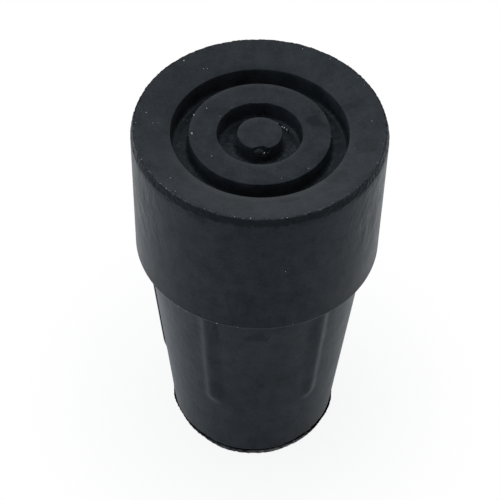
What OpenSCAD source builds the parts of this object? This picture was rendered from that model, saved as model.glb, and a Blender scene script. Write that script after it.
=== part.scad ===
// Rubber cane tip, moulded in one piece.
// A tapered shank grips the end of a walking cane in its socket. Above it is a wider
// foot, whose tread face has two ring grooves around a central boss.
// It stands on the mouth of its socket, with the tread face upwards, as it is packed.
// The axis of the socket is the Z axis, and the mouth lies at Z = 0. Sizes are in mm.

/* [Socket] */
// Diameter of the cane that the tip is pushed onto
cane_d = 19; // [17:0.5:19.5]
// How much narrower than the cane the rubber socket is
socket_grip = 0.4; // [0.2:0.1:0.8]
// Depth of the socket from the mouth to its closed end
socket_depth = 47; // [40:1:50]
// Width of the lead-in chamfer inside the mouth
lead_in = 0.6; // [0.2:0.1:1]

/* [Shank] */
// Length of the tapered shank below the foot
shank_len = 38.2; // [34:0.2:42]
// Outside diameter of the shank at the mouth
mouth_d = 25.3; // [24.6:0.1:27]
// Outside diameter of the shank where it meets the foot
shank_top_d = 33.1; // [31:0.1:34.4]
// Chamfer on the outside edge of the mouth
mouth_chamfer = 0.3; // [0.1:0.1:0.6]

/* [Framed panels of the shank] */
// Number of framed panels around the shank
panel_count = 3; // [2:1:3]
// Direction that the middle of the first panel faces, counted from the -Y axis towards +X
panel_turn = 6.5; // [-30:0.5:30]
// Angle around the axis between the two side frames of a panel
panel_angle = 70; // [60:1:76]
// Height above the mouth at which a panel's lower edge lies
panel_low = 12; // [8:0.2:14]
// Height of the cut-off lower corners
corner_h = 2.7; // [2:0.1:4]
// Angle around the axis that a cut-off corner takes from the lower edge
corner_angle = 7; // [5.5:0.5:9]
// Height of the frame's crest above the shank
crest_h = 0.25; // [0.15:0.05:0.4]
// Depth of the panel's floor below the shank
floor_drop = 0.25; // [0.15:0.05:0.4]
// Steepness of the frame's outer side, in degrees
outer_slope = 31; // [25:1:45]
// Steepness of the frame's inner side, in degrees
inner_slope = 20; // [18:1:24]

/* [Foot] */
// Height of the foot
foot_h = 23.6; // [20:0.2:26]
// Diameter of the foot at the lower end of its edge band
foot_d = 37; // [36.8:0.1:39]
// Diameter of the foot where it meets the shank
foot_low_d = 36.5; // [36:0.1:36.8]
// Height of the sloping band around the edge of the tread face
edge_band = 1.2; // [0.6:0.1:1.6]
// Diameter of the tread face
face_d = 36.1; // [35.6:0.1:36.6]
// Radius of the rounded lower edge of the foot
low_round = 0.3; // [0.1:0.05:0.5]

/* [Tread] */
// How far the middle of the tread lies below its rim
tread_dish = 1.5; // [1.2:0.1:2]
// Fall of the outer land from the rim to the outer groove
outer_fall = 1.2; // [0.8:0.1:1.2]
// Outer diameter of the outer ring groove
outer_ring_od = 25.6; // [25:0.1:27]
// Inner diameter of the outer ring groove
outer_ring_id = 20.4; // [19:0.1:21]
// Outer diameter of the inner ring groove
inner_ring_od = 12.3; // [11.5:0.1:13]
// Diameter of the central boss
boss_d = 6.5; // [6:0.1:7]
// Depth of both grooves below the middle land
groove_depth = 3.05; // [2.5:0.05:3.5]
// Radius between the walls and the floor of a groove
groove_fillet = 0.6; // [0.3:0.05:0.9]
// Radius of the moulded edges of the tread
tread_round = 0.18; // [0.1:0.01:0.25]

/* [Nick in the boss] */
// Width of the nick in the edge of the boss
nick_w = 2.9; // [2:0.1:3.5]
// How far the nick reaches in from the edge of the boss
nick_reach = 0.7; // [0.4:0.1:1]
// Depth of the nick down the side of the boss
nick_depth = 1.4; // [1:0.1:1.8]
// Offset of the nick along X
nick_x = 0.25; // [-0.5:0.05:0.5]

/* [Hidden] */
$fn = 96;
rubber_colour = [0.14, 0.15, 0.16];

// Radii of the shank's cone, and the slope of its side
mouth_r = mouth_d / 2;
shank_slope = (shank_top_d - mouth_d) / 2 / shank_len;
shank_tilt = atan(shank_slope);
function shank_r(z) = mouth_r + shank_slope * z;

// Radii of the foot and the tread, and the heights of its surfaces
foot_r = foot_d / 2;
foot_low_r = foot_low_d / 2;
face_r = face_d / 2;
outer_ring_r = outer_ring_od / 2;
middle_land_r = outer_ring_id / 2;
inner_ring_r = inner_ring_od / 2;
boss_r = boss_d / 2;
overall_h = shank_len + foot_h;
tread_z = overall_h - tread_dish;
groove_z = tread_z - groove_depth;

// Half of a panel's angle, and the height at which its cut-off corners start
half_angle = panel_angle / 2;
corner_z = panel_low + corner_h;
// Height over which the panel's floor runs out into the shank at its lower end
run_out = 4.8;
// Part of a panel near its middle that has no frame
clear_angle = 17;
// Angle by which the blocks around a panel reach past its frame
past_frame = 5;
// How deep the frames are rooted in the shank, and how far they reach into the foot
root = 1;
// Size of the blocks that trim the frames
block = 60;
// Small overrun of a cut past a surface
over = 0.5;

// Unit vector from point a to point b
function towards(a, b) = (b - a) / norm(b - a);

// The sliver between a sharp corner p of an outline and a round of radius r on it.
// a and b are the points of the outline before and after p. It reaches a little way
// past the outline, so that it leaves nothing behind.
module corner_sliver(a, p, b, r) {
  to_a = towards(p, a);
  to_b = towards(p, b);
  half = acos(to_a * to_b) / 2;
  inwards = towards([0, 0], to_a + to_b);
  centre = p + inwards * r / sin(half);
  end_a = p + to_a * r / tan(half);
  end_b = p + to_b * r / tan(half);
  past = 0.05;
  // The circle is a hair too large, so that it crosses the outline and doesn't just touch it
  hair = 0.0005;
  difference() {
    polygon([
      p - inwards * 2 * past,
      end_a + towards(centre, end_a) * past,
      centre,
      end_b + towards(centre, end_b) * past
    ]);
    translate(centre)
      circle(r + hair);
  }
}

// Half section of a ring groove between two radii, with filleted lower corners
module groove_section(inner, outer) {
  difference() {
    translate([inner, groove_z])
      square([outer - inner, groove_depth + tread_dish + over]);
    corner_sliver([outer, groove_z], [inner, groove_z], [inner, tread_z], groove_fillet);
    corner_sliver([inner, groove_z], [outer, groove_z], [outer, tread_z], groove_fillet);
  }
}

// Half section of the foot: its side, edge band, dished tread, grooves and rounded edges
module foot_section() {
  low = [foot_low_r, shank_len];
  band = [foot_r, overall_h - edge_band];
  rim = [face_r, overall_h];
  land = [outer_ring_r, overall_h - outer_fall];
  middle_out = [middle_land_r, tread_z];
  middle_in = [inner_ring_r, tread_z];
  boss = [boss_r, tread_z];
  difference() {
    polygon([[0, shank_len], low, band, rim, land, middle_out, [0, tread_z]]);
    groove_section(middle_land_r, outer_ring_r);
    groove_section(boss_r, inner_ring_r);
    corner_sliver([0, shank_len], low, band, low_round);
    corner_sliver(band, rim, land, tread_round);
    corner_sliver(rim, land, [outer_ring_r, groove_z], tread_round);
    corner_sliver([middle_land_r, groove_z], middle_out, middle_in, tread_round);
    corner_sliver(middle_out, middle_in, [inner_ring_r, groove_z], tread_round);
    corner_sliver([boss_r, groove_z], boss, [0, tread_z], tread_round);
  }
}

// Half section of the shank, rooted in the foot
module shank_section() {
  polygon([
    [0, 0],
    [mouth_r - mouth_chamfer, 0],
    [shank_r(mouth_chamfer), mouth_chamfer],
    [shank_r(shank_len), shank_len],
    [shank_r(shank_len), shank_len + root],
    [0, shank_len + root]
  ]);
}

// Puts its children at the crest of a frame: X points out of the shank, Z up along its side
module at_crest(angle, z) {
  rotate([0, 0, angle])
    translate([shank_r(z) + crest_h, 0, z])
      rotate([0, shank_tilt, 0])
        children();
}

// All space in front of a plane through the origin that faces along X
module half_space() {
  translate([0, -block, -block])
    cube([block, 2 * block, 2 * block]);
}

// Space outside one side of a frame. A positive slope gives the frame's outer side,
// and a negative one its inner side. side is 1 or -1.
module beside_frame(side, slope) {
  at_crest(side * half_angle, corner_z)
    rotate([0, 0, side * slope])
      half_space();
}

// The same for the frame along a cut-off corner, from the middle of that corner
module beside_corner(side, slope) {
  corner_w = corner_angle * PI / 180 * shank_r(panel_low);
  lean = atan(corner_w / corner_h);
  at_crest(side * (half_angle - corner_angle / 2), panel_low + corner_h / 2)
    rotate([-side * lean, 0, 0])
      rotate([0, 0, side * slope])
        half_space();
}

// The raised block of a panel, trimmed to the outer sides of its frame
module panel_block() {
  reach = half_angle + past_frame;
  low = panel_low - crest_h / tan(outer_slope) / 2;
  high = shank_len + root;
  difference() {
    rotate([0, 0, -reach])
      rotate_extrude(angle = 2 * reach)
        polygon([
          [shank_r(low) - root, low],
          [shank_r(low), low],
          [shank_r(panel_low) + crest_h, panel_low + crest_h],
          [shank_r(high) + crest_h, high],
          [shank_r(high) - root, high]
        ]);
    for (side = [-1, 1]) {
      beside_frame(side, outer_slope);
      beside_corner(side, outer_slope);
    }
  }
}

// All space outside the panel's floor. The floor runs out into the shank at its lower end.
module above_floor() {
  reach = half_angle + past_frame;
  bend = panel_low + run_out;
  low = panel_low - over;
  high = shank_len + 2 * root;
  clear = shank_r(high) + root;
  // Rise of the floor above the shank just below the point where it runs out
  rise = floor_drop * over / run_out;
  rotate([0, 0, -reach])
    rotate_extrude(angle = 2 * reach)
      polygon([
        [shank_r(low) + rise, low],
        [shank_r(bend) - floor_drop, bend],
        [shank_r(high) - floor_drop, high],
        [clear, high],
        [clear, low]
      ]);
}

// All space between two angles around the axis
module wedge(from, to) {
  linear_extrude(height = block)
    polygon([[0, 0], block * [cos(from), sin(from)], block * [cos(to), sin(to)]]);
}

// What is taken away inside a frame, down to the panel's floor
module panel_hollow() {
  reach = half_angle + 2 * past_frame;
  near = clear_angle / 2;
  intersection() {
    above_floor();
    union() {
      wedge(-clear_angle, clear_angle);
      for (side = [-1, 1])
        intersection() {
          wedge(side > 0 ? near : -reach, side > 0 ? reach : -near);
          beside_frame(side, -inner_slope);
          beside_corner(side, -inner_slope);
        }
    }
  }
}

// Repeats its children once for each panel, spaced evenly around the axis
module each_panel() {
  for (i = [0 : panel_count - 1])
    rotate([0, 0, panel_turn - 90 + i * 360 / panel_count])
      children();
}

// The blind socket for the cane, with its lead-in
module socket() {
  socket_r = (cane_d - socket_grip) / 2;
  translate([0, 0, -over])
    cylinder(h = socket_depth + over, r = socket_r);
  translate([0, 0, -over])
    cylinder(h = lead_in + over, r1 = socket_r + lead_in + over, r2 = socket_r);
}

// A scoop torn out of the edge of the boss
module boss_nick() {
  // The scoop is part of a lying cylinder that passes through the two ends of the nick
  scoop_r = (nick_reach * nick_reach + nick_depth * nick_depth) / 2 / nick_depth;
  translate([nick_x - nick_w / 2, nick_reach - boss_r - scoop_r, tread_z + scoop_r - nick_depth])
    rotate([0, 90, 0])
      cylinder(h = nick_w, r = scoop_r);
}

// The tapered shank with its framed panels
module shank() {
  difference() {
    union() {
      rotate_extrude()
        shank_section();
      each_panel()
        panel_block();
    }
    each_panel()
      panel_hollow();
  }
}

// The foot with its grooved tread
module foot() {
  difference() {
    rotate_extrude()
      foot_section();
    boss_nick();
  }
}

// The whole tip, one solid
module cane_tip() {
  color(rubber_colour)
    difference() {
      union() {
        shank();
        foot();
      }
      socket();
    }
}

cane_tip();
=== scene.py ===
import math

import bpy
from mathutils import Matrix, Vector


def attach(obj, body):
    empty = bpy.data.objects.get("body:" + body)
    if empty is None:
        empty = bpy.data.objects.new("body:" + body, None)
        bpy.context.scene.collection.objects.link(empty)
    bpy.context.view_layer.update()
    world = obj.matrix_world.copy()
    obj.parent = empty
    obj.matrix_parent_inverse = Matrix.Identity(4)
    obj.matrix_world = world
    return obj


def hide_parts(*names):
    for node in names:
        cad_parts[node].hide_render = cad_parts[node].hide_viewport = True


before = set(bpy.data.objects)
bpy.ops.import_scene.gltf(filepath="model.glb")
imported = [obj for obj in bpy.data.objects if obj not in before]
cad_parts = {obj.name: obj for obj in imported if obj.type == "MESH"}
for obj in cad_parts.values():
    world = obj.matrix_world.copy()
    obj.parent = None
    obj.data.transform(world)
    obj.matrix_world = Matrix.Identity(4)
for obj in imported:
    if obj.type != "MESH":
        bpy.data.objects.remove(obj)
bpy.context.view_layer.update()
mm = 0.001


# ---- The section of the moulding --------------------------------------------------------
# The tip is one piece of carbon-black rubber, cured in a turned steel mould around a core
# pin that leaves the socket. Half of its section is drawn here, from the closed end of the
# socket, round the mouth, up the outside and over the tread to the middle of the boss.

overall_h = 61.8 * mm
shank_len = 38.2 * mm
mouth_r = 12.65 * mm
shank_top_r = 16.55 * mm
mouth_chamfer = 0.3 * mm
socket_r = 9.3 * mm
socket_depth = 47 * mm
lead_in = 0.6 * mm

foot_r = 18.5 * mm
foot_low_r = 18.25 * mm
low_round = 0.3 * mm
edge_band = 1.2 * mm
face_r = 18.05 * mm

tread_z = overall_h - 1.5 * mm
groove_z = tread_z - 3.05 * mm
land_z = overall_h - 1.2 * mm
outer_ring_r = 12.8 * mm
middle_land_r = 10.2 * mm
inner_ring_r = 6.15 * mm
boss_r = 3.25 * mm
groove_fillet = 0.6 * mm
tread_round = 0.18 * mm

shank_slope = (shank_top_r - mouth_r) / shank_len


def shank_r(z):
    """Radius of the shank's cone at a height above the mouth."""
    return mouth_r + shank_slope * z


def corner(radius, height, rounding=0.0, step=3 * mm, ragged=0.0, panelled=0.0):
    """A corner of the section. Step is the longest gap between points on the way to the next
    corner, ragged is how far the rubber there strays from its true place, and panelled is 1
    where the panels of the shank are raised."""
    return (radius, height, rounding, step, ragged, panelled)


# How far a trimmed edge strays, and the lip at the mouth with the crevice over it
trim = 0.07 * mm
lip_h = 0.36 * mm
lip_r = mouth_r + 0.13 * mm
undercut = 0.2 * mm
undercut_h = 1 * mm
section = [
    corner(0, socket_depth),
    corner(socket_r, socket_depth, rounding=0.4 * mm, step=20 * mm),
    corner(socket_r, lead_in, rounding=0.1 * mm),
    # The rim of the mouth, where flash was torn off and left a lip under a narrow crevice
    corner(socket_r + lead_in, 0, rounding=0.06 * mm, step=0.8 * mm),
    corner(mouth_r - mouth_chamfer, 0, step=0.2 * mm),
    corner(lip_r, 0.06 * mm, ragged=trim, panelled=1),
    corner(lip_r, lip_h - 0.04 * mm, step=0.1 * mm, ragged=trim, panelled=1),
    corner(mouth_r - undercut, lip_h, step=0.2 * mm, ragged=0.3 * trim, panelled=1),
    corner(shank_r(undercut_h) - undercut, undercut_h, ragged=0.3 * trim, panelled=1),
    corner(
        shank_r(undercut_h), undercut_h + 0.08 * mm, step=0.2 * mm, ragged=trim, panelled=1
    ),
    corner(shank_r(1.2 * mm), 1.2 * mm, step=0.3 * mm, ragged=0.2 * trim, panelled=1),
    corner(shank_r(1.6 * mm), 1.6 * mm, panelled=1),
    corner(shank_r(2.4 * mm), 2.4 * mm, panelled=1),
    # The side of the shank, with closer points where the frames of its panels end
    corner(shank_r(10.6 * mm), 10.6 * mm, step=0.2 * mm, panelled=1),
    corner(shank_r(16 * mm), 16 * mm, step=4 * mm, panelled=1),
    corner(shank_top_r, shank_len, panelled=1),
    # The foot
    corner(foot_low_r, shank_len, rounding=low_round, step=8 * mm),
    corner(foot_r - 0.02 * mm, overall_h - edge_band - 1.4 * mm),
    corner(foot_r - 0.01 * mm, overall_h - edge_band - 0.5 * mm, step=0.15 * mm),
    corner(foot_r - 0.04 * mm, overall_h - edge_band, step=0.16 * mm, ragged=trim),
    corner(face_r + 0.08 * mm, overall_h - 0.12 * mm, ragged=trim),
    corner(face_r - 0.1 * mm, overall_h - 0.06 * mm, step=0.15 * mm, ragged=0.8 * trim),
    # The tread, with its two ring grooves
    corner(face_r - 0.5 * mm, overall_h - 0.11 * mm, step=1.2 * mm),
    corner(outer_ring_r, land_z, rounding=tread_round, step=0.6 * mm),
    corner(outer_ring_r, groove_z, rounding=groove_fillet, step=0.5 * mm),
    corner(middle_land_r, groove_z, rounding=groove_fillet, step=0.8 * mm),
    corner(middle_land_r, tread_z, rounding=tread_round, step=1.2 * mm),
    corner(inner_ring_r, tread_z, rounding=tread_round, step=0.8 * mm),
    corner(inner_ring_r, groove_z, rounding=groove_fillet, step=0.5 * mm),
    corner(boss_r, groove_z, rounding=groove_fillet, step=0.5 * mm),
    corner(boss_r, tread_z, rounding=tread_round, step=1.2 * mm),
    corner(0, tread_z),
]

section_mesh = bpy.data.meshes.new("moulding_section")
section_mesh.from_pydata(
    [(c[0], 0, c[1]) for c in section],
    [(i, i + 1) for i in range(len(section) - 1)],
    [],
)
for column, name in enumerate(("rounding", "step", "ragged", "panelled"), start=2):
    layer = section_mesh.attributes.new(name, "FLOAT", "POINT")
    layer.data.foreach_set("value", [c[column] for c in section])
moulding = bpy.data.objects.new("moulding", section_mesh)
bpy.context.scene.collection.objects.link(moulding)


# ---- The moulding -----------------------------------------------------------------------
# The section is turned round the axis of the socket. Then the three framed panels of the
# shank are raised, and the cut and moulded edges get the uneven line that rubber leaves.

def add(tree, kind, links, **settings):
    """Adds a node with its settings. Links maps each input to a value, a node or an output."""
    node = tree.nodes.new(kind)
    for name, value in settings.items():
        setattr(node, name, value)
    for key, value in links.items():
        if isinstance(value, bpy.types.Node):
            value = next(output for output in value.outputs if output.enabled)
        if isinstance(value, bpy.types.NodeSocket):
            tree.links.new(value, node.inputs[key])
        else:
            node.inputs[key].default_value = value
    return node


def add_tree(name, sizes, marked=False):
    """A geometry tree with its input geometry, its named sizes, which are metres, angles or
    counts, its marks where it has any, and its finish. Also gives the node of its inputs."""
    tree = bpy.data.node_groups.new(name, "GeometryNodeTree")
    tree.interface.new_socket("Geometry", in_out="INPUT", socket_type="NodeSocketGeometry")
    for label, value in sizes.items():
        kind = "NodeSocketInt" if isinstance(value, int) else "NodeSocketFloat"
        tree.interface.new_socket(label, in_out="INPUT", socket_type=kind)
    if marked:
        tree.interface.new_socket("Marks", in_out="INPUT", socket_type="NodeSocketObject")
    tree.interface.new_socket("Finish", in_out="INPUT", socket_type="NodeSocketMaterial")
    tree.interface.new_socket("Geometry", in_out="OUTPUT", socket_type="NodeSocketGeometry")
    return tree, tree.nodes.new("NodeGroupInput")


def finish_tree(tree, inputs, geometry):
    """Ends a tree: its instances are made real and get the finish."""
    real = add(tree, "GeometryNodeRealizeInstances", {"Geometry": geometry})
    coated = add(
        tree, "GeometryNodeSetMaterial",
        {"Geometry": real, "Material": inputs.outputs["Finish"]},
    )
    add(tree, "NodeGroupOutput", {"Geometry": coated})


# Noise stays near the middle of its range, so what it moves is multiplied by this
noise_gain = 5


def stray(tree, geometry, noise, reach):
    """Moves each point of a geometry in a direction that a noise gives, by up to its reach."""
    centred = add(
        tree, "ShaderNodeVectorMath", {0: noise.outputs["Color"], 1: (0.5, 0.5, 0.5)},
        operation="SUBTRACT",
    )
    reach = add(tree, "ShaderNodeMath", {0: reach, 1: noise_gain}, operation="MULTIPLY")
    lift = add(tree, "ShaderNodeVectorMath", {0: centred, "Scale": reach}, operation="SCALE")
    return add(tree, "GeometryNodeSetPosition", {"Geometry": geometry, "Offset": lift})


def run_tree(piece, tree, sizes, finish, mark_points=None):
    """Runs a tree on a piece and leaves its result as the piece's own plain mesh."""
    modifier = piece.modifiers.new(tree.name, "NODES")
    modifier.node_group = tree
    for item in tree.interface.items_tree:
        if item.in_out == "INPUT" and item.name in sizes:
            modifier[item.identifier] = sizes[item.name]
        elif item.name == "Finish":
            modifier[item.identifier] = finish
        elif item.name == "Marks":
            modifier[item.identifier] = mark_points
    evaluated = piece.evaluated_get(bpy.context.evaluated_depsgraph_get())
    made = bpy.data.meshes.new_from_object(evaluated)
    piece.modifiers.remove(modifier)
    piece.data = made
    made.name = piece.name


moulding_sizes = {
    "Columns": 520,
    "Panels": 3,
    "Panel turn": math.radians(6),
    "Half panel angle": math.radians(33),
    "Corner angle": math.radians(7),
    "Corner height": 3.4 * mm,
    "Panel low": 12 * mm,
    "Corner round": 0.9 * mm,
    "Crest height": 0.34 * mm,
    "Crest width": 0.4 * mm,
    "Outer round": 0.3 * mm,
    "Inner round": 0.35 * mm,
    "Crest round": 0.45 * mm,
    "Ridge end": -1.2 * mm,
    "Ridge full": -3.6 * mm,
    "Floor drop": 0.25 * mm,
    "Run out": 14 * mm,
    "Outer slope": math.tan(math.radians(21)),
    "Inner slope": math.tan(math.radians(20)),
    "Ragged grain": 0.55 * mm,
}
tree, size = add_tree("turned_moulding", moulding_sizes)

# The section's corners are rounded, and long stretches get points by their step
line = add(tree, "GeometryNodeMeshToCurve", {"Mesh": size.outputs["Geometry"]})
rounding = add(
    tree, "GeometryNodeInputNamedAttribute", {"Name": "rounding"}, data_type="FLOAT"
)
facets = add(
    tree, "ShaderNodeMapRange",
    {"Value": rounding, "From Max": groove_fillet, "To Min": 2, "To Max": 4},
)
line = add(
    tree, "GeometryNodeFilletCurve",
    {"Curve": line, "Count": facets, "Radius": rounding, "Limit Radius": True}, mode="POLY",
)
place = add(tree, "GeometryNodeInputPosition", {})
index = add(tree, "GeometryNodeInputIndex", {})
after = add(tree, "ShaderNodeMath", {0: index, 1: 1}, operation="ADD")
next_place = add(
    tree, "GeometryNodeFieldAtIndex", {"Value": place, "Index": after},
    data_type="FLOAT_VECTOR", domain="POINT",
)
gap = add(tree, "ShaderNodeVectorMath", {0: place, 1: next_place}, operation="DISTANCE")
step = add(tree, "GeometryNodeInputNamedAttribute", {"Name": "step"}, data_type="FLOAT")
cuts = add(tree, "ShaderNodeMath", {0: gap.outputs["Value"], 1: step}, operation="DIVIDE")
cuts = add(tree, "ShaderNodeMath", {0: cuts}, operation="FLOOR")
line = add(tree, "GeometryNodeSubdivideCurve", {"Curve": line, "Cuts": cuts})

# A grid with one row for each point of the section is rolled up round the axis
rows = add(tree, "GeometryNodeAttributeDomainSize", {"Geometry": line}, component="CURVE")
turns = add(tree, "ShaderNodeMath", {0: size.outputs["Columns"], 1: 1}, operation="ADD")
grid = add(
    tree, "GeometryNodeMeshGrid",
    {"Size X": 1, "Size Y": 1, "Vertices X": turns, "Vertices Y": rows},
)
row = add(tree, "ShaderNodeMath", {0: index, 1: rows}, operation="MODULO")
column = add(tree, "ShaderNodeMath", {0: index, 1: rows}, operation="DIVIDE")
column = add(tree, "ShaderNodeMath", {0: column}, operation="FLOOR")
share = add(
    tree, "ShaderNodeMath", {0: column, 1: size.outputs["Columns"]}, operation="DIVIDE"
)
angle = add(tree, "ShaderNodeMath", {0: share, 1: math.tau}, operation="MULTIPLY")
flat = add(
    tree, "GeometryNodeSampleIndex", {"Geometry": line, "Value": place, "Index": row},
    data_type="FLOAT_VECTOR", domain="POINT",
)
turned = add(
    tree, "ShaderNodeVectorRotate", {"Vector": flat, "Angle": angle}, rotation_type="Z_AXIS"
)
body = add(tree, "GeometryNodeSetPosition", {"Geometry": grid, "Position": turned})
for name in ("ragged", "panelled"):
    along = add(tree, "GeometryNodeInputNamedAttribute", {"Name": name}, data_type="FLOAT")
    value = add(
        tree, "GeometryNodeSampleIndex", {"Geometry": line, "Value": along, "Index": row},
        data_type="FLOAT", domain="POINT",
    )
    body = add(
        tree, "GeometryNodeStoreNamedAttribute",
        {"Geometry": body, "Name": name, "Value": value}, data_type="FLOAT", domain="POINT",
    )
body = add(tree, "GeometryNodeMergeByDistance", {"Geometry": body, "Distance": 0.002 * mm})

# How far a point of the shank lies inside the frame of its panel, in metres along the side
apart = add(tree, "ShaderNodeSeparateXYZ", {0: place})
forwards = add(tree, "ShaderNodeMath", {0: apart.outputs["Y"], 1: -1}, operation="MULTIPLY")
from_front = add(
    tree, "ShaderNodeMath", {0: apart.outputs["X"], 1: forwards}, operation="ARCTAN2"
)
azimuth = add(
    tree, "ShaderNodeMath", {0: from_front, 1: size.outputs["Panel turn"]},
    operation="SUBTRACT",
)
half_pitch = add(
    tree, "ShaderNodeMath", {0: math.pi, 1: size.outputs["Panels"]}, operation="DIVIDE"
)
low_pitch = add(tree, "ShaderNodeMath", {0: half_pitch, 1: -1}, operation="MULTIPLY")
azimuth = add(
    tree, "ShaderNodeMath", {0: azimuth, 1: half_pitch, 2: low_pitch}, operation="WRAP"
)
azimuth = add(tree, "ShaderNodeMath", {0: azimuth}, operation="ABSOLUTE")
level = add(tree, "ShaderNodeVectorMath", {0: place, 1: (1, 1, 0)}, operation="MULTIPLY")
radius = add(tree, "ShaderNodeVectorMath", {0: level}, operation="LENGTH").outputs["Value"]
inside = add(
    tree, "ShaderNodeMath", {0: size.outputs["Half panel angle"], 1: azimuth},
    operation="SUBTRACT",
)
side_inside = add(tree, "ShaderNodeMath", {0: inside, 1: radius}, operation="MULTIPLY")

# The frame turns inwards along a line that cuts off the lower corner
half_corner = add(
    tree, "ShaderNodeMath", {0: size.outputs["Corner angle"], 1: 0.5}, operation="MULTIPLY"
)
past_corner = add(tree, "ShaderNodeMath", {0: inside, 1: half_corner}, operation="SUBTRACT")
past_corner = add(tree, "ShaderNodeMath", {0: past_corner, 1: radius}, operation="MULTIPLY")
middle = add(
    tree, "ShaderNodeMath",
    {0: size.outputs["Corner height"], 1: 0.5, 2: size.outputs["Panel low"]},
    operation="MULTIPLY_ADD",
)
above = add(tree, "ShaderNodeMath", {0: apart.outputs["Z"], 1: middle}, operation="SUBTRACT")
corner_w = add(
    tree, "ShaderNodeMath", {0: size.outputs["Corner angle"], 1: radius}, operation="MULTIPLY"
)
lean = add(
    tree, "ShaderNodeMath", {0: corner_w, 1: size.outputs["Corner height"]},
    operation="ARCTAN2",
)
cosine = add(tree, "ShaderNodeMath", {0: lean}, operation="COSINE")
sine = add(tree, "ShaderNodeMath", {0: lean}, operation="SINE")
risen = add(tree, "ShaderNodeMath", {0: above, 1: sine}, operation="MULTIPLY")
corner_inside = add(
    tree, "ShaderNodeMath", {0: past_corner, 1: cosine, 2: risen}, operation="MULTIPLY_ADD"
)
inside = add(
    tree, "ShaderNodeMath",
    {0: side_inside, 1: corner_inside, 2: size.outputs["Corner round"]},
    operation="SMOOTH_MIN",
)

# The frame rises steeply from outside to its crest and falls gently to the panel's floor
outer = add(
    tree, "ShaderNodeMath",
    {0: inside, 1: size.outputs["Outer slope"], 2: size.outputs["Crest height"]},
    operation="MULTIPLY_ADD",
)
outer = add(
    tree, "ShaderNodeMath", {0: outer, 1: 0, 2: size.outputs["Outer round"]},
    operation="SMOOTH_MAX",
)
past_crest = add(
    tree, "ShaderNodeMath", {0: inside, 1: size.outputs["Crest width"]}, operation="SUBTRACT"
)
fall = add(
    tree, "ShaderNodeMath", {0: past_crest, 1: size.outputs["Inner slope"]},
    operation="MULTIPLY",
)
inner = add(
    tree, "ShaderNodeMath", {0: size.outputs["Crest height"], 1: fall}, operation="SUBTRACT"
)
bend = add(
    tree, "ShaderNodeMath", {0: size.outputs["Panel low"], 1: size.outputs["Run out"]},
    operation="ADD",
)
drop = add(
    tree, "ShaderNodeMath", {0: size.outputs["Floor drop"], 1: -1}, operation="MULTIPLY"
)
floor_h = add(
    tree, "ShaderNodeMapRange",
    {
        "Value": apart.outputs["Z"], "From Min": size.outputs["Panel low"],
        "From Max": bend, "To Min": 0, "To Max": drop,
    },
    interpolation_type="SMOOTHSTEP",
)
inner = add(
    tree, "ShaderNodeMath", {0: inner, 1: floor_h, 2: size.outputs["Inner round"]},
    operation="SMOOTH_MAX",
)
outer = add(
    tree, "ShaderNodeMath",
    {0: outer, 1: size.outputs["Crest height"], 2: size.outputs["Outer round"]},
    operation="SMOOTH_MIN",
)
relief = add(
    tree, "ShaderNodeMath", {0: outer, 1: inner, 2: size.outputs["Crest round"]},
    operation="SMOOTH_MIN",
)

# Each ridge of the frame fades out along the corner's line, towards the panel's low end
ahead = add(tree, "ShaderNodeMath", {0: past_corner, 1: sine}, operation="MULTIPLY")
under = add(tree, "ShaderNodeMath", {0: above, 1: -1}, operation="MULTIPLY")
ahead = add(
    tree, "ShaderNodeMath", {0: under, 1: cosine, 2: ahead}, operation="MULTIPLY_ADD"
)
half_line = add(
    tree, "ShaderNodeMath", {0: size.outputs["Corner height"], 1: cosine}, operation="DIVIDE"
)
half_line = add(tree, "ShaderNodeMath", {0: half_line, 1: 0.5}, operation="MULTIPLY")
ahead = add(tree, "ShaderNodeMath", {0: ahead, 1: half_line}, operation="SUBTRACT")
shown = add(
    tree, "ShaderNodeMapRange",
    {
        "Value": ahead, "From Min": size.outputs["Ridge end"],
        "From Max": size.outputs["Ridge full"],
    },
    interpolation_type="SMOOTHSTEP",
)
panelled = add(
    tree, "GeometryNodeInputNamedAttribute", {"Name": "panelled"}, data_type="FLOAT"
)
well_inside = add(
    tree, "ShaderNodeMapRange", {"Value": inside, "From Max": 2 * mm},
    interpolation_type="SMOOTHSTEP",
)
floor_only = add(tree, "ShaderNodeMath", {0: floor_h, 1: well_inside}, operation="MULTIPLY")
relief = add(
    tree, "ShaderNodeMix", {"Factor": shown, "A": floor_only, "B": relief}, data_type="FLOAT"
)
relief = add(tree, "ShaderNodeMath", {0: relief, 1: panelled}, operation="MULTIPLY")
outwards = add(tree, "ShaderNodeVectorMath", {0: level}, operation="NORMALIZE")
lift = add(
    tree, "ShaderNodeVectorMath", {0: outwards, "Scale": relief}, operation="SCALE"
)
body = add(tree, "GeometryNodeSetPosition", {"Geometry": body, "Offset": lift})

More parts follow.
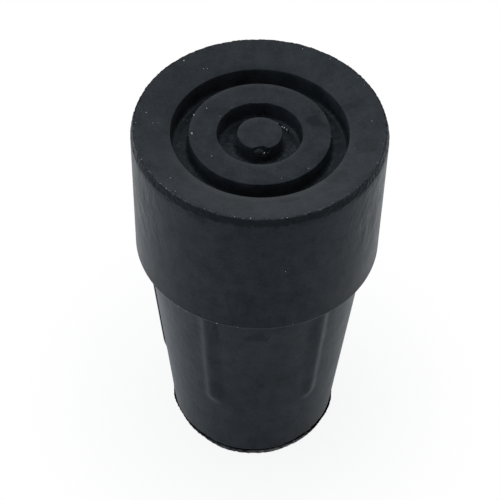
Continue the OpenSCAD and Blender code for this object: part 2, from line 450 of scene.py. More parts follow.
# The lip was trimmed by hand: cut back at two places, and left long at two others. Each is
# given by its turn in degrees and by how far the lip sticks out there in mm
cut_reach = math.radians(34)
cut_full = math.radians(12)
on_lip = add(
    tree, "ShaderNodeMapRange",
    {"Value": apart.outputs["Z"], "From Min": lip_h + 0.3 * mm, "From Max": lip_h + 0.1 * mm},
)
at_rim = add(
    tree, "ShaderNodeMapRange",
    {"Value": radius, "From Min": mouth_r - 0.9 * mm, "From Max": mouth_r - 0.3 * mm},
)
for cut_turn, reach in ((-52, -0.32), (46, -0.17), (-95, 0.2), (98, 0.2)):
    aside = add(
        tree, "ShaderNodeMath", {0: from_front, 1: math.radians(cut_turn)},
        operation="SUBTRACT",
    )
    aside = add(tree, "ShaderNodeMath", {0: aside}, operation="ABSOLUTE")
    cut = add(
        tree, "ShaderNodeMapRange",
        {"Value": aside, "From Min": cut_reach, "From Max": cut_full, "To Max": reach * mm},
        interpolation_type="SMOOTHSTEP",
    )
    for mask in (on_lip, at_rim):
        cut = add(tree, "ShaderNodeMath", {0: cut, 1: mask}, operation="MULTIPLY")
    lift = add(tree, "ShaderNodeVectorMath", {0: outwards, "Scale": cut}, operation="SCALE")
    body = add(tree, "GeometryNodeSetPosition", {"Geometry": body, "Offset": lift})

# Torn and trimmed edges stray from their true place, up to their raggedness, in any direction
grain = add(
    tree, "ShaderNodeMath", {0: 1, 1: size.outputs["Ragged grain"]}, operation="DIVIDE"
)
noise = add(tree, "ShaderNodeTexNoise", {"Scale": grain, "Detail": 3, "Roughness": 0.65})
ragged = add(tree, "GeometryNodeInputNamedAttribute", {"Name": "ragged"}, data_type="FLOAT")
body = stray(tree, body, noise, ragged)
finish_tree(tree, size, body)


# ---- The torn places --------------------------------------------------------------------
# Pulling the part off its core tore a scoop out of the boss and left crumbs of rubber on
# some edges. Each is a lumpy ball, cut out of the moulding or joined on to it.

def on_part(turn, radius, height):
    """A place on the part: degrees round the axis from the front, then mm out and up."""
    angle = math.radians(turn)
    return Vector((radius * math.sin(angle), -radius * math.cos(angle), height)) * mm


def mark_mesh(name, marks, columns):
    """One point for each mark, with its turn round the axis and its other values."""
    mesh = bpy.data.meshes.new(name)
    mesh.from_pydata([on_part(*mark[:3]) for mark in marks], [], [])
    turns = mesh.attributes.new("turn", "FLOAT", "POINT")
    turns.data.foreach_set("value", [math.radians(mark[0]) for mark in marks])
    for index, (label, scale) in enumerate(columns.items(), start=3):
        values = mesh.attributes.new(label, "FLOAT", "POINT")
        values.data.foreach_set("value", [mark[index] * scale for mark in marks])
    mark_points = bpy.data.objects.new(name, mesh)
    bpy.context.scene.collection.objects.link(mark_points)
    return mark_points


# Turn, radius and height of the middle, half of its width, reach and height in mm, and 1
# where it is cut out or 0 where it is joined on
torn = mark_mesh(
    "torn_marks",
    [
        (4.4, 3.4, 60.05, 1.55, 0.75, 1.3, 1),
        (-3, 2.9, 59.5, 0.8, 0.5, 0.5, 0),
        (14, 2.85, 59.1, 0.45, 0.4, 0.3, 0),
        (2.3, 16.15, 34.6, 0.4, 0.12, 0.25, 1),
        (-177.5, 6.12, 60.26, 1.5, 0.13, 0.12, 0),
        (-139, 6.3, 60.3, 0.45, 0.24, 0.16, 0),
        (153, 5.4, 57.3, 0.25, 0.2, 0.22, 0),
        (139, 5.25, 57.3, 0.45, 0.25, 0.24, 0),
        (131, 5.25, 57.3, 0.3, 0.22, 0.25, 0),
        (116, 10.12, 60.22, 0.3, 0.14, 0.12, 0),
        (88, 10.12, 60.22, 0.3, 0.14, 0.14, 0),
        (77, 10.12, 60.2, 0.25, 0.14, 0.14, 0),
    ],
    {"half width": mm, "half reach": mm, "half height": mm, "cut": 1},
)

torn_sizes = {"Lump share": 0.2, "Lump grain": 0.8 * mm}
tree, size = add_tree("torn_places", torn_sizes, marked=True)
turn = add(tree, "GeometryNodeInputNamedAttribute", {"Name": "turn"}, data_type="FLOAT")
facing = add(tree, "ShaderNodeCombineXYZ", {"Z": turn})
halves = {
    axis: add(tree, "GeometryNodeInputNamedAttribute", {"Name": name}, data_type="FLOAT")
    for axis, name in (("X", "half width"), ("Y", "half reach"), ("Z", "half height"))
}
half = add(tree, "ShaderNodeCombineXYZ", halves)
marks = add(tree, "GeometryNodeObjectInfo", {"Object": size.outputs["Marks"]})
ball = add(tree, "GeometryNodeMeshIcoSphere", {"Radius": 1, "Subdivisions": 5})
lumps = add(
    tree, "GeometryNodeInstanceOnPoints",
    {
        "Points": marks.outputs["Geometry"], "Instance": ball.outputs["Mesh"],
        "Rotation": facing, "Scale": half,
    },
)
lumps = add(tree, "GeometryNodeRealizeInstances", {"Geometry": lumps})
grain = add(tree, "ShaderNodeMath", {0: 1, 1: size.outputs["Lump grain"]}, operation="DIVIDE")
noise = add(tree, "ShaderNodeTexNoise", {"Scale": grain, "Detail": 3, "Roughness": 0.6})
shallow = add(
    tree, "ShaderNodeMath", {0: halves["Y"], 1: halves["Z"]}, operation="MINIMUM"
)
reach = add(
    tree, "ShaderNodeMath", {0: shallow, 1: size.outputs["Lump share"]}, operation="MULTIPLY"
)
lumps = stray(tree, lumps, noise, reach)
cut = add(tree, "GeometryNodeInputNamedAttribute", {"Name": "cut"}, data_type="FLOAT")
split = add(
    tree, "GeometryNodeSeparateGeometry", {"Geometry": lumps, "Selection": cut}, domain="POINT"
)
body = add(
    tree, "GeometryNodeMeshBoolean",
    {"Mesh 1": size.outputs["Geometry"], "Mesh 2": split.outputs["Selection"]},
    operation="DIFFERENCE", solver="MANIFOLD",
)
body = add(
    tree, "GeometryNodeMeshBoolean", {"Mesh 2": body}, operation="UNION", solver="MANIFOLD"
)
tree.links.new(split.outputs["Inverted"], body.inputs["Mesh 2"])

# Sharp edges stay sharp, and everything else is shaded smooth
body = add(tree, "GeometryNodeSetShadeSmooth", {"Geometry": body}, domain="FACE")
bent = add(tree, "GeometryNodeInputMeshEdgeAngle", {})
sharp = add(
    tree, "FunctionNodeCompare", {0: bent, 1: math.radians(35)},
    data_type="FLOAT", operation="GREATER_THAN",
)
body = add(
    tree, "GeometryNodeSetShadeSmooth",
    {"Geometry": body, "Selection": sharp, "Shade Smooth": False}, domain="EDGE",
)
finish_tree(tree, size, body)


# ---- The rubber -------------------------------------------------------------------------
# Natural and styrene rubber filled with carbon black, cured against a fine-blasted steel
# mould. It is a deep blue-grey black with a low satin sheen that turns bright at the sides.

def linear(colour):
    """The linear colour of an sRGB hex value such as #1c1f22."""
    parts = [int(colour[i:i + 2], 16) / 255 for i in (1, 3, 5)]
    return [p / 12.92 if p <= 0.04045 else ((p + 0.055) / 1.055) ** 2.4 for p in parts] + [1]


rubber = bpy.data.materials.new("carbon_black_rubber_moulded")
rubber.use_nodes = True
tree = rubber.node_tree
tree.nodes.clear()

# Where a point is: how high, how far out from the axis, and how far to the left or right
coords = add(tree, "ShaderNodeTexCoord", {}).outputs["Object"]
apart = add(tree, "ShaderNodeSeparateXYZ", {0: coords})
height = apart.outputs["Z"]
sideways = add(tree, "ShaderNodeVectorMath", {0: coords, 1: (1, 1, 0)}, operation="MULTIPLY")
out = add(tree, "ShaderNodeVectorMath", {0: sideways}, operation="LENGTH").outputs["Value"]
to_side = add(tree, "ShaderNodeMath", {0: apart.outputs["X"]}, operation="ABSOLUTE")

# The black is cloudy. The grain that the blasted mould leaves is too fine to show, so it is
# drawn as coarse as 0.3 mm
mottle = add(
    tree, "ShaderNodeTexNoise",
    {"Vector": coords, "Scale": 1 / (3 * mm), "Detail": 5, "Roughness": 0.8},
)
grain = add(
    tree, "ShaderNodeTexNoise",
    {"Vector": coords, "Scale": 1 / (0.3 * mm), "Detail": 2, "Roughness": 0.6},
)
blend = add(
    tree, "ShaderNodeMath", {0: grain, 1: 0.5, 2: mottle}, operation="MULTIPLY_ADD"
)
cloud = add(
    tree, "ShaderNodeMapRange", {"Value": blend, "From Min": 0.56, "From Max": 0.94}
)
colour = add(
    tree, "ShaderNodeMix",
    {"Factor": cloud, "A": linear("#14181c"), "B": linear("#282c31")}, data_type="RGBA",
)

# Smudges: turn, radius and height of the middle, half sizes in mm, and how dark each one is
smudges = [
    (110, 8.1, 60.3, 1.2, 1.1, 1, 0.75),
    (103, 9.0, 60.3, 0.9, 0.6, 1, 0.6),
    (113, 13.8, 60.8, 1.3, 0.8, 1, 0.45),
    (80, 15.4, 61.2, 2.2, 1.4, 1, 0.35),
    (51, 13.7, 60.8, 2.4, 1.4, 1, 0.5),
    (16, 13.9, 61, 1.8, 0.6, 1, 0.5),
    (53, 18.4, 56, 1.6, 2, 1.6, 0.35),
    (70, 18.4, 53, 1.5, 2, 3, 0.35),
    (-20, 16.2, 32.5, 0.45, 1, 3.6, 0.6),
    (-20, 14.5, 16.5, 0.6, 1, 2.8, 0.3),
    (-34, 14.4, 16.4, 0.7, 1, 1.6, 0.5),
    (2, 16.1, 33, 2.6, 1, 0.9, 0.6),
    (20, 14.9, 22, 2.4, 1, 2.2, 0.3),
]
smudge_wander = 3 * mm
wander = add(
    tree, "ShaderNodeVectorMath", {0: mottle.outputs["Color"], 1: (0.5, 0.5, 0.5)},
    operation="SUBTRACT",
)
wander = add(
    tree, "ShaderNodeVectorMath", {0: wander, "Scale": smudge_wander}, operation="SCALE"
)
wandering = add(tree, "ShaderNodeVectorMath", {0: coords, 1: wander}, operation="ADD")
for turn, radius, level, half_x, half_y, half_z, dark in smudges:
    from_middle = add(
        tree, "ShaderNodeVectorMath", {0: wandering, 1: on_part(turn, radius, level)},
        operation="SUBTRACT",
    )
    share = add(
        tree, "ShaderNodeVectorMath",
        {0: from_middle, 1: [1 / (half * mm) for half in (half_x, half_y, half_z)]},
        operation="MULTIPLY",
    )
    reach = add(tree, "ShaderNodeVectorMath", {0: share}, operation="LENGTH").outputs["Value"]
    patch = add(
        tree, "ShaderNodeMapRange",
        {"Value": reach, "From Min": 1.1, "From Max": 0.7, "To Max": dark},
        interpolation_type="SMOOTHSTEP",
    )
    colour = add(
        tree, "ShaderNodeMix", {"Factor": patch, "A": colour, "B": linear("#060708")},
        data_type="RGBA",
    )

# The outer land meets the ground first, so it is worn a little paler
worn = add(
    tree, "ShaderNodeMapRange",
    {
        "Value": height, "From Min": land_z - 0.3 * mm, "From Max": land_z - 0.1 * mm,
        "To Max": 0.03,
    },
)

# Scuffs wander over the floors of the ring grooves
swirl = add(
    tree, "ShaderNodeTexNoise",
    {
        "Vector": coords, "Scale": 1 / (2.2 * mm), "Detail": 2, "Roughness": 0.6,
        "Distortion": 1.2,
    },
)
swirl = add(tree, "ShaderNodeMath", {0: swirl, 1: 0.5}, operation="SUBTRACT")
swirl = add(tree, "ShaderNodeMath", {0: swirl}, operation="ABSOLUTE")
streak = add(
    tree, "ShaderNodeMapRange",
    {"Value": swirl, "From Min": 0.03, "From Max": 0.005, "To Max": 0.6},
)
in_ring = add(
    tree, "ShaderNodeMath", {0: out, 1: outer_ring_r + 0.1 * mm}, operation="LESS_THAN"
)
over_socket = add(
    tree, "ShaderNodeMath", {0: height, 1: groove_z - 1 * mm}, operation="GREATER_THAN"
)
on_floor = add(
    tree, "ShaderNodeMapRange",
    {"Value": height, "From Min": groove_z + 0.9 * mm, "From Max": groove_z + 0.3 * mm},
)
in_groove = add(tree, "ShaderNodeMath", {0: in_ring, 1: over_socket}, operation="MULTIPLY")
in_groove = add(tree, "ShaderNodeMath", {0: in_groove, 1: on_floor}, operation="MULTIPLY")
streak = add(tree, "ShaderNodeMath", {0: streak, 1: in_groove}, operation="MULTIPLY")

# Shade is painted dark into the crevice over the lip. It stands higher at the sides as a
# painted reflection of the shaded table near the mouth
outside = add(
    tree, "ShaderNodeMapRange",
    {"Value": out, "From Min": mouth_r - 0.35 * mm, "From Max": mouth_r - 0.2 * mm},
)
torn_line = add(
    tree, "ShaderNodeTexNoise",
    {"Vector": coords, "Scale": 1 / (0.8 * mm), "Detail": 3, "Roughness": 0.7},
)
torn_height = add(
    tree, "ShaderNodeMath", {0: torn_line, 1: -1.4 * mm, 2: height}, operation="MULTIPLY_ADD"
)
shade_rise = add(
    tree, "ShaderNodeMapRange",
    {"Value": to_side, "From Min": 3 * mm, "From Max": 8 * mm, "To Max": 0.7 * mm},
)
torn_height = add(
    tree, "ShaderNodeMath", {0: torn_height, 1: shade_rise}, operation="SUBTRACT"
)
painted_shade = add(
    tree, "ShaderNodeMapRange",
    {"Value": torn_height, "From Min": 0.35 * mm, "From Max": 0.15 * mm},
    interpolation_type="SMOOTHSTEP",
)
painted_shade = add(tree, "ShaderNodeMath", {0: painted_shade, 1: outside}, operation="MULTIPLY")

# The nearest ridge of the panel on the left has a matt dark line along its outer foot: painted
# shade in its crease. A place on the part that is a metre from the axis gives a direction
metre = 1 / mm
ridge_turn = -78.6
ridge_low = 12.5 * mm
to_left = add(
    tree, "ShaderNodeVectorMath", {0: coords, 1: on_part(ridge_turn, metre, 0)},
    operation="DOT_PRODUCT",
)
on_left = add(
    tree, "ShaderNodeMath", {0: to_left.outputs["Value"], 1: socket_r},
    operation="GREATER_THAN",
)
over_low = add(
    tree, "ShaderNodeMapRange",
    {"Value": height, "From Min": ridge_low, "From Max": ridge_low + 2.5 * mm},
)
on_shank = add(tree, "ShaderNodeMath", {0: height, 1: shank_len}, operation="LESS_THAN")
off_line = add(
    tree, "ShaderNodeVectorMath", {0: coords, 1: on_part(ridge_turn + 90, metre, 0)},
    operation="DOT_PRODUCT",
)
off_line = add(tree, "ShaderNodeMath", {0: off_line.outputs["Value"]}, operation="ABSOLUTE")
ridge_shade_line = add(
    tree, "ShaderNodeMapRange",
    {"Value": off_line, "From Min": 0.34 * mm, "From Max": 0.16 * mm, "To Max": 0.9},
)
for mask in (on_left, over_low, on_shank):
    ridge_shade_line = add(tree, "ShaderNodeMath", {0: ridge_shade_line, 1: mask}, operation="MULTIPLY")
painted_shade = add(tree, "ShaderNodeMath", {0: painted_shade, 1: ridge_shade_line}, operation="MAXIMUM")

# The edge band was left rough by the trimming of its flash. Its darker colour is painted
# shade, for the dark that its rounded face mirrors. Its two borders are ragged: teeth is about
# 1, and each border allows for that
band_stray = 1.8 * mm
band_low = overall_h - edge_band + band_stray
border_stray = 0.9 * mm
band_in = face_r - 0.05 * mm + border_stray
border_half = 0.06 * mm
teeth = add(tree, "ShaderNodeMath", {0: torn_line, 1: grain}, operation="ADD")
strayed = add(
    tree, "ShaderNodeMath", {0: teeth, 1: band_stray, 2: height}, operation="MULTIPLY_ADD"
)
on_side = add(
    tree, "ShaderNodeMapRange",
    {"Value": strayed, "From Min": band_low - border_half, "From Max": band_low + border_half},
)
strayed = add(
    tree, "ShaderNodeMath", {0: teeth, 1: border_stray, 2: out}, operation="MULTIPLY_ADD"
)
on_top = add(
    tree, "ShaderNodeMapRange",
    {"Value": strayed, "From Min": band_in - border_half, "From Max": band_in + border_half},
)
rough_band = add(tree, "ShaderNodeMath", {0: on_side, 1: on_top}, operation="MULTIPLY")
band_shade = add(tree, "ShaderNodeMath", {0: rough_band, 1: 0.68}, operation="MULTIPLY")

# Its frayed inner border is painted pale here and there on the front half: painted highlights
# where its teeth catch the light
on_front = add(
    tree, "ShaderNodeMapRange",
    {"Value": apart.outputs["Y"], "From Min": 3 * mm, "From Max": -4 * mm},
)
border = add(
    tree, "ShaderNodeMapRange", {"Value": on_top, "From Min": 0.9, "From Max": 0.4}
)
inner_side = add(
    tree, "ShaderNodeMapRange", {"Value": on_top, "From Min": 0.05, "From Max": 0.3}
)
border_highlight = add(
    tree, "ShaderNodeMapRange",
    {"Value": grain, "From Min": 0.5, "From Max": 0.62, "To Max": 0.6},
)
for mask in (border, inner_side, on_side, on_front):
    border_highlight = add(tree, "ShaderNodeMath", {0: border_highlight, 1: mask}, operation="MULTIPLY")

# The torn lip is painted pale on the front, most of all a little to the right: a painted
# highlight for the light it catches there
lip_front = on_part(0, 12.6, 0.2)
lip_palest = on_part(36, 12.6, 0.2)
low = add(
    tree, "ShaderNodeMapRange",
    {"Value": height, "From Min": lip_h + 0.06 * mm, "From Max": lip_h - 0.04 * mm},
)
lip_highlight = add(
    tree, "ShaderNodeMapRange",
    {"Value": torn_line, "From Min": 0.35, "From Max": 0.65, "To Min": 0.1},
)
from_front = add(
    tree, "ShaderNodeVectorMath", {0: coords, 1: lip_front}, operation="DISTANCE"
)
near_front = add(
    tree, "ShaderNodeMapRange",
    {"Value": from_front.outputs["Value"], "From Min": 11.5 * mm, "From Max": 9.5 * mm},
)
from_palest = add(
    tree, "ShaderNodeVectorMath", {0: coords, 1: lip_palest}, operation="DISTANCE"
)
palest = add(
    tree, "ShaderNodeMapRange",
    {
        "Value": from_palest.outputs["Value"], "From Min": 8 * mm, "From Max": 4.5 * mm,
        "To Min": 0.45,
    },
)
for mask in (low, near_front, palest, outside):
    lip_highlight = add(tree, "ShaderNodeMath", {0: lip_highlight, 1: mask}, operation="MULTIPLY")

# Wear, scuffs, painted shade and painted highlights lie over the black and over each other, in
# this order
for share, tint in (
    (worn, "#5f6569"), (streak, "#3d4448"), (painted_shade, "#08090a"), (band_shade, "#0c0e10"),
    (border_highlight, "#7d8388"), (lip_highlight, "#a3a9ae"),
):
    colour = add(
        tree, "ShaderNodeMix", {"Factor": share, "A": colour, "B": linear(tint)},
        data_type="RGBA",
    )

# The painted shade doesn't shine, nor does the back half of the edge band, which was torn and
# not cut.
# The lowest part of the foot is rubbed less in the hand and shines less
full_shine = 0.124
torn_back = add(tree, "ShaderNodeMapRange", {"Value": on_front, "To Min": 1, "To Max": 0.08})
matt = add(tree, "ShaderNodeMath", {0: rough_band, 1: torn_back}, operation="MULTIPLY")
matt = add(tree, "ShaderNodeMath", {0: matt, 1: painted_shade}, operation="MAXIMUM")
dull = add(
    tree, "ShaderNodeMapRange",
    {
        "Value": height, "From Min": shank_len + 0.5 * mm, "From Max": shank_len + 8.5 * mm,
        "To Min": 0.62, "To Max": 0,
    },
)
on_foot = add(
    tree, "ShaderNodeMath", {0: height, 1: shank_len + 0.4 * mm}, operation="GREATER_THAN"
)
dull = add(tree, "ShaderNodeMath", {0: dull, 1: on_foot}, operation="MULTIPLY")
matt = add(tree, "ShaderNodeMath", {0: matt, 1: dull}, operation="MAXIMUM")
shine = add(tree, "ShaderNodeMapRange", {"Value": matt, "To Min": full_shine, "To Max": 0})

# Wax that has come to the surface lies unevenly on the sides and dulls them in patches.
# Hands draw it and every other mark there out along the axis
upright = add(tree, "ShaderNodeVectorMath", {0: coords, 1: (1, 1, 0.5)}, operation="MULTIPLY")
bloom = add(
    tree, "ShaderNodeTexNoise",
    {"Vector": upright, "Scale": 1 / (1.8 * mm), "Detail": 2, "Roughness": 0.6},
)
waxy = add(
    tree, "ShaderNodeMapRange",
    {"Value": bloom, "From Min": 0.35, "From Max": 0.65, "To Min": 0.82, "To Max": 1.15},
)
below = add(
    tree, "ShaderNodeMapRange",
    {"Value": height, "From Min": groove_z - 1 * mm, "From Max": groove_z - 4 * mm},
)
waxy = add(tree, "ShaderNodeMix", {"Factor": below, "A": 1, "B": waxy}, data_type="FLOAT")
shine = add(tree, "ShaderNodeMath", {0: shine, 1: waxy}, operation="MULTIPLY")

# The sheen is broad and uneven, broader in the grooves and all gone where the painted shade
# lies
sheen = add(
    tree, "ShaderNodeMapRange",
    {"Value": mottle, "From Min": 0.3, "From Max": 0.7, "To Min": 0.26, "To Max": 0.36},
)
sheen = add(
    tree, "ShaderNodeMath", {0: in_groove, 1: 0.08, 2: sheen}, operation="MULTIPLY_ADD"
)
sheen = add(tree, "ShaderNodeMath", {0: sheen, 1: painted_shade}, operation="MAXIMUM")

# The grain stands up a little everywhere. Fingers have smeared the sides of the foot in
# short upright strokes that break its shine
bump = add(
    tree, "ShaderNodeBump", {"Height": grain, "Strength": 0.4, "Distance": 0.03 * mm}
)
stroke = add(
    tree, "ShaderNodeTexNoise",
    {"Vector": upright, "Scale": 1 / (3 * mm), "Detail": 4, "Roughness": 0.6},
)
smeared = add(
    tree, "ShaderNodeMapRange",
    {"Value": to_side, "From Min": 11 * mm, "From Max": 16 * mm, "To Max": 0.9},
)
smear_low = add(
    tree, "ShaderNodeMapRange",
    {"Value": height, "From Min": shank_len + 4 * mm, "From Max": shank_len + 14 * mm},
)
on_wall = add(
    tree, "ShaderNodeMath", {0: out, 1: face_r - 0.2 * mm}, operation="GREATER_THAN"
)
for mask in (smear_low, on_wall):
    smeared = add(tree, "ShaderNodeMath", {0: smeared, 1: mask}, operation="MULTIPLY")
bump = add(
    tree, "ShaderNodeBump",
    {"Height": stroke, "Strength": smeared, "Distance": 0.4 * mm, "Normal": bump},
)

# Dried handling marks leave the sides of the shank speckled
speckle = add(
    tree, "ShaderNodeTexNoise",
    {"Vector": upright, "Scale": 1 / (0.7 * mm), "Detail": 2, "Roughness": 0.6},
)
speckled = add(
    tree, "ShaderNodeMapRange",
    {"Value": to_side, "From Min": 3 * mm, "From Max": 8 * mm, "To Max": 0.7},
)
speckled = add(tree, "ShaderNodeMath", {0: speckled, 1: on_shank}, operation="MULTIPLY")
bump = add(
    tree, "ShaderNodeBump",
    {"Height": speckle, "Strength": speckled, "Distance": 0.06 * mm, "Normal": bump},
)
surface = add(
    tree, "ShaderNodeBsdfPrincipled",
    {
        "Base Color": colour, "Roughness": sheen, "IOR": 1.5, "Specular IOR Level": shine,
        "Specular Tint": linear("#e2f4ff"), "Normal": bump,
    },
)
add(tree, "ShaderNodeOutputMaterial", {"Surface": surface})

run_tree(moulding, bpy.data.node_groups["turned_moulding"], moulding_sizes, rubber)
run_tree(moulding, bpy.data.node_groups["torn_places"], torn_sizes, rubber, torn)
bpy.data.objects.remove(torn)
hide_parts("cane_tip")
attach(moulding, "root")


# ---- The dust ---------------------------------------------------------------------------
# Pale lint and grit from handling. Single grains cling to the lands, to the crumbs on the
# fillet, to the edge band and to the lower edge of the foot.

# Turn, radius and height of each grain, and half of its size in mm
grains = mark_mesh(
    "grain_points",
    [
        (-139, 17.4, 61.64, 0.11), (-145, 14.8, 61.06, 0.055), (-147, 14.6, 61.01, 0.06),
        (97, 16.1, 61.35, 0.055), (-92, 15.3, 61.17, 0.045), (-98, 16.5, 61.45, 0.055),
        (-93, 14.5, 60.99, 0.04), (77, 13.8, 60.83, 0.045), (-50, 16, 61.33, 0.05),
        (160, 17.4, 61.65, 0.07), (145, 17.5, 61.67, 0.06), (121, 17.5, 61.67, 0.05),
        (127, 17.6, 61.69, 0.045), (-90, 17.7, 61.71, 0.05), (-41, 17.4, 61.64, 0.05),
        (-121, 9.06, 60.31, 0.11), (-109, 10.1, 60.25, 0.1), (-118, 6.6, 60.31, 0.06),
        (-87, 9.7, 60.31, 0.15), (-54, 8.3, 60.31, 0.06), (46, 9.7, 60.31, 0.06),
        (20, 9.4, 60.31, 0.065), (-139, 6.36, 60.4, 0.09), (166, 4.2, 57.26, 0.06),
        (153, 5.4, 57.5, 0.12), (142, 5.25, 57.5, 0.11), (138, 5.25, 57.52, 0.13),
        (132, 5.25, 57.52, 0.15), (126, 5.4, 57.42, 0.07), (-6, 3.28, 59.35, 0.06),
        (9, 3.1, 59.3, 0.1), (13, 3.1, 59.32, 0.12), (-17.5, 18.24, 38.45, 0.08),
        (-7.6, 18.24, 38.6, 0.07), (17.6, 18.25, 38.8, 0.05), (-33, 18.24, 38.5, 0.06),
        (-37.6, 18.24, 38.5, 0.06), (13, 18.43, 51, 0.07), (-3, 17.9, 61.75, 0.07),
        (-24, 17.9, 61.75, 0.06), (-10, 17.95, 61.75, 0.05), (13, 18.0, 61.75, 0.045),
        (-45, 18.0, 61.75, 0.06), (-49, 18.02, 61.74, 0.05), (-58, 18.0, 61.75, 0.06),
        (-66, 18.02, 61.74, 0.05), (-35, 18.02, 61.74, 0.045),
    ],
    {"grain size": mm},
)
grain_sizes = {"Narrowest": 0.6, "Widest": 1.3, "Seed": 7}
tree, size = add_tree("dust_grains", grain_sizes, marked=True)
scattered = add(tree, "GeometryNodeObjectInfo", {"Object": size.outputs["Marks"]})
grit = add(tree, "GeometryNodeMeshIcoSphere", {"Radius": 1, "Subdivisions": 2})
own_size = add(
    tree, "GeometryNodeInputNamedAttribute", {"Name": "grain size"}, data_type="FLOAT"
)
flattening = add(
    tree, "ShaderNodeCombineXYZ", {axis: size.outputs["Narrowest"] for axis in "XYZ"}
)
stretching = add(
    tree, "ShaderNodeCombineXYZ", {axis: size.outputs["Widest"] for axis in "XYZ"}
)
squeeze = add(
    tree, "FunctionNodeRandomValue",
    {"Min": flattening, "Max": stretching, "Seed": size.outputs["Seed"]},
    data_type="FLOAT_VECTOR",
)
squeeze = add(tree, "ShaderNodeVectorMath", {0: squeeze, "Scale": own_size}, operation="SCALE")
tumble = add(
    tree, "FunctionNodeRandomValue",
    {"Min": (0, 0, 0), "Max": (math.tau,) * 3, "Seed": size.outputs["Seed"]},
    data_type="FLOAT_VECTOR",
)
specks = add(
    tree, "GeometryNodeInstanceOnPoints",
    {
        "Points": scattered.outputs["Geometry"], "Instance": grit.outputs["Mesh"],
        "Rotation": tumble, "Scale": squeeze,
    },
)
finish_tree(tree, size, specks)

# Lint is chalky and quite matt, so each grain is a light dot on the black from every side
lint = bpy.data.materials.new("pale_lint_dust")
lint.use_nodes = True
tree = lint.node_tree
tree.nodes.clear()
coords = add(tree, "ShaderNodeTexCoord", {}).outputs["Object"]
patchy = add(
    tree, "ShaderNodeTexNoise", {"Vector": coords, "Scale": 1 / (2 * mm), "Detail": 2}
)
shade = add(
    tree, "ShaderNodeMix",
    {"Factor": patchy, "A": linear("#8d9194"), "B": linear("#d3d6d8")}, data_type="RGBA",
)
fluffy = add(tree, "ShaderNodeBsdfPrincipled", {"Base Color": shade, "Roughness": 0.9})
add(tree, "ShaderNodeOutputMaterial", {"Surface": fluffy})

dust = bpy.data.objects.new("dust_specks", bpy.data.meshes.new("dust_specks"))
bpy.context.scene.collection.objects.link(dust)
run_tree(dust, bpy.data.node_groups["dust_grains"], grain_sizes, lint, grains)
bpy.data.objects.remove(grains)
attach(dust, "root")


# ---- The studio -------------------------------------------------------------------------
# The tip stands on a table of white card in a tent of white cloth. One large soft panel on
# the left and one high behind light it, and they give its sheen the brightest places.

table_half = 3
table_mesh = bpy.data.meshes.new("table")
table_mesh.from_pydata(
    [(x * table_half, y * table_half, 0) for x, y in ((-1, -1), (1, -1), (1, 1), (-1, 1))],
    [],
    [(0, 1, 2, 3)],
)
table = bpy.data.objects.new("table", table_mesh)
bpy.context.scene.collection.objects.link(table)

# The card is plain white where it is looked at, apart from a faint shadow round the tip. The
# rubber's sheen mirrors a share of that white, and less of it close to the tip
mirror_share = 0.4
close_share = 0.4
shadow_white = 0.9
shadow_start = 12 * mm
shadow_end = 42 * mm
paper = bpy.data.materials.new("white_card_matt")
paper.use_nodes = True
tree = paper.node_tree
tree.nodes.clear()
card = add(tree, "ShaderNodeBsdfDiffuse", {"Color": linear("#c0c8d0")})
glow = add(tree, "ShaderNodeEmission", {"Color": linear("#ffffff")})
rays = add(tree, "ShaderNodeLightPath", {})
mirrored = add(
    tree, "ShaderNodeMath",
    {0: rays.outputs["Is Glossy Ray"], 1: rays.outputs["Is Transmission Ray"]},
    operation="ADD",
)
spot = add(tree, "ShaderNodeTexCoord", {}).outputs["Object"]
away = add(tree, "ShaderNodeVectorMath", {0: spot}, operation="LENGTH").outputs["Value"]
clear = add(
    tree, "ShaderNodeMapRange",
    {"Value": away, "From Min": shadow_start, "From Max": shadow_end},
    interpolation_type="SMOOTHSTEP",
)
close = add(tree, "ShaderNodeMapRange", {"Value": clear, "To Min": close_share})
mirrored = add(tree, "ShaderNodeMath", {0: mirrored, 1: close}, operation="MULTIPLY")
shadow = add(tree, "ShaderNodeMapRange", {"Value": clear, "To Min": shadow_white})
looked_at = add(
    tree, "ShaderNodeMath", {0: rays.outputs["Is Camera Ray"], 1: shadow},
    operation="MULTIPLY",
)
white = add(
    tree, "ShaderNodeMath", {0: mirrored, 1: mirror_share, 2: looked_at},
    operation="MULTIPLY_ADD",
)
mixed = add(tree, "ShaderNodeMixShader", {0: white, 1: card, 2: glow})
add(tree, "ShaderNodeOutputMaterial", {"Surface": mixed})
table_mesh.materials.append(paper)

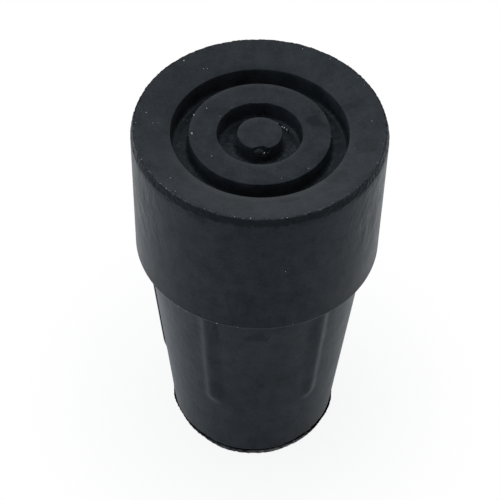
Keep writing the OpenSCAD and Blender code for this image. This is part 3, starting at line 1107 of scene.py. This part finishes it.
# The tent is brightest at the back and on the left, and plain white where it is looked at
tent_level = 0.87
tent_lean = (-0.38, 0.45, 0)
tent = bpy.data.worlds.new("white_tent")
tent.use_nodes = True
tree = tent.node_tree
tree.nodes.clear()
towards = add(tree, "ShaderNodeTexCoord", {}).outputs["Generated"]
lean = add(
    tree, "ShaderNodeVectorMath", {0: towards, 1: tent_lean}, operation="DOT_PRODUCT"
)
cloth = add(
    tree, "ShaderNodeMath", {0: lean.outputs["Value"], 1: tent_level}, operation="ADD"
)
rays = add(tree, "ShaderNodeLightPath", {})
mirrored = add(
    tree, "ShaderNodeMath",
    {0: rays.outputs["Is Glossy Ray"], 1: rays.outputs["Is Transmission Ray"]},
    operation="ADD",
)
seen = add(
    tree, "ShaderNodeMath", {0: mirrored, 1: mirror_share, 2: rays.outputs["Is Camera Ray"]},
    operation="MULTIPLY_ADD",
)
strength = add(tree, "ShaderNodeMix", {"Factor": seen, "A": cloth, "B": 1}, data_type="FLOAT")
sky = add(tree, "ShaderNodeBackground", {"Color": linear("#ffffff"), "Strength": strength})
add(tree, "ShaderNodeOutputWorld", {"Surface": sky})
bpy.context.scene.world = tent

# Each panel's watts, width and place in metres. Both are turned to the tip
panel_h = 0.7
for name, watts, width, place in (
    ("left_panel", 4, 1, Vector((-1.3, 0, 0.75))),
    ("back_panel", 2.2, 1.8, Vector((0, 0.5, 1.4))),
):
    panel = bpy.data.lights.new(name, "AREA")
    panel.shape = "RECTANGLE"
    panel.size = width
    panel.size_y = panel_h
    panel.energy = watts
    lamp = bpy.data.objects.new(name, panel)
    lamp.location = place
    lamp.rotation_euler = (-place).to_track_quat("-Z", "Y").to_euler()
    bpy.context.scene.collection.objects.link(lamp)


# ---- The camera -------------------------------------------------------------------------
# A long lens, about 0.3 m away, looks down on the tread from in front at about 45 degrees,
# with the tip standing on its mouth. It is rolled by a degree or so.

camera = bpy.data.objects.new("camera", bpy.data.cameras.new("camera"))
camera.data.sensor_width = 36
camera.data.lens = 144
camera.data.clip_start = 10 * mm
camera_place = Vector((0, -201.4, 263.2)) * mm
camera_aim = Vector((-1, 0, 35)) * mm
camera_roll = math.radians(1.4)
turned = (camera_aim - camera_place).to_track_quat("-Z", "Y").to_matrix().to_4x4()
rolled = Matrix.Rotation(camera_roll, 4, "Z")
camera.matrix_world = Matrix.Translation(camera_place) @ turned @ rolled
bpy.context.scene.collection.objects.link(camera)
bpy.context.scene.camera = camera
bpy.context.scene.view_settings.view_transform = "Standard"
